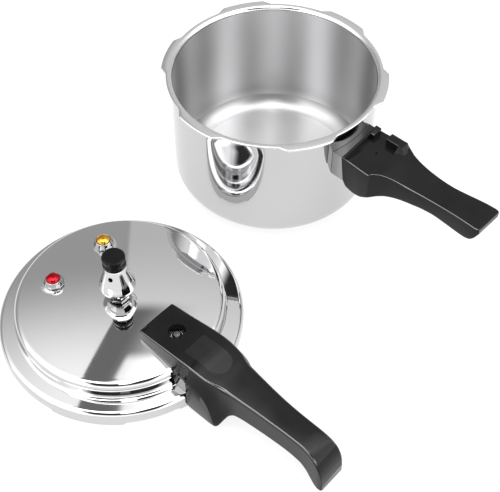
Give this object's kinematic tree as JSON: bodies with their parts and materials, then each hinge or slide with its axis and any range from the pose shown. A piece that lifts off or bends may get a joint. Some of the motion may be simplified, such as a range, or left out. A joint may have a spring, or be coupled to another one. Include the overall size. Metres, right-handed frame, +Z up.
{
  "type": "stovetop pressure cooker",
  "caption": "Polished aluminium stovetop pressure cooker: open pot with a long black handle, and its locking lid with weight valve, indicator and relief valve lying beside it.",
  "frame": {"origin": "centre of the pot's flat underside, on the surface it stands on", "axes": "+Z up; +X from the pot's axis along its handle; -Y towards the lid, which lies on the same surface on its skirt"},
  "size_m": [0.3952, 0.4719, 0.1315],
  "materials": {
    "polished_aluminium": "mirror polished outside, satin inside",
    "chrome": "polished",
    "steel": "plain",
    "black_bakelite": "glossy moulded",
    "brass": "machined",
    "gold_cap": "glossy gold lacquer",
    "red_cap": "glossy red",
    "grey_silicone": "matte",
    "black_rubber": "matte"
  },
  "bodies": {
    "pot": {"pot_body": "polished_aluminium", "pot_bracket": "chrome", "pot_rivet_1": "steel", "pot_rivet_2": "steel", "pot_rivet_3": "steel", "pot_handle": "black_bakelite", "pot_handle_screw": "steel", "pot_handle_washer": "steel", "pot_handle_insert": "brass"},
    "ball": {"vent_ball": "steel"},
    "gasket": {"vent_gasket": "black_rubber"},
    "seal": {"sealing_ring": "grey_silicone"},
    "lid": {"lid_shell": "polished_aluminium", "lid_bracket": "chrome", "lid_handle": "black_bakelite", "lid_handle_screw": "chrome", "lid_handle_washer": "steel", "lid_handle_seal": "grey_silicone", "lid_handle_nut": "steel", "lid_grip_screw": "steel", "lid_grip_insert": "brass", "vent_pipe": "chrome", "vent_washer": "black_rubber", "vent_nut": "steel", "red_valve_body": "chrome", "red_valve_washer": "black_rubber", "red_valve_nut": "steel", "gold_valve_body": "chrome", "gold_valve_washer": "black_rubber", "gold_valve_nut": "steel"},
    "spindle": {"weight_spindle": "steel"},
    "weight": {"weight_body": "chrome", "weight_knob": "black_bakelite"},
    "red_float": {"red_valve_float": "red_cap", "red_valve_seal": "grey_silicone"},
    "gold_poppet": {"gold_valve_cap": "gold_cap", "gold_valve_stem": "steel", "gold_valve_seal": "grey_silicone", "gold_valve_spring": "steel"}
  },
  "joints": [
    {"name": "lid_carry", "type": "hinge", "parent": "pot", "child": "ball", "pos_m": [0.0223, -0.15525, 0.179], "axis": [-0.9898, -0.1422, 0], "range_deg": [0, 234]},
    {"name": "lid_level", "type": "hinge", "parent": "ball", "child": "gasket", "pos_m": [0.0354, -0.2465, 0.0521], "axis": [-0.9898, -0.1422, 0], "range_deg": [-234.5, 0]},
    {"name": "lid_yaw", "type": "hinge", "parent": "gasket", "child": "seal", "pos_m": [0.0354, -0.2465, 0], "axis": [0, 0, 1], "range_deg": [-31.6, 0]},
    {"name": "lid_turn", "type": "hinge", "parent": "seal", "child": "lid", "pos_m": [0.0354, -0.2465, 0], "axis": [0, 0, 1], "range_deg": [0, 30]},
    {"name": "weight_lift", "type": "slide", "parent": "lid", "child": "spindle", "axis": [0, 0, 1], "range_m": [0, 0.018]},
    {"name": "weight_spin", "type": "hinge", "parent": "spindle", "child": "weight", "pos_m": [0.0354, -0.2465, 0.07], "axis": [0, 0, 1], "continuous": true},
    {"name": "red_valve_rise", "type": "slide", "parent": "lid", "child": "red_float", "axis": [0, 0, 1], "range_m": [0, 0.004]},
    {"name": "gold_valve_rise", "type": "slide", "parent": "lid", "child": "gold_poppet", "axis": [0, 0, 1], "range_m": [0, 0.003], "stiffness_N_per_m": 600, "deforming": ["gold_valve_spring"]}
  ],
  "couplings": [
    {"joint": "lid_level", "follows": "lid_carry", "ratio": -1},
    {"joint": "lid_yaw", "follows": "lid_carry", "ratio": -0.13462}
  ]
}
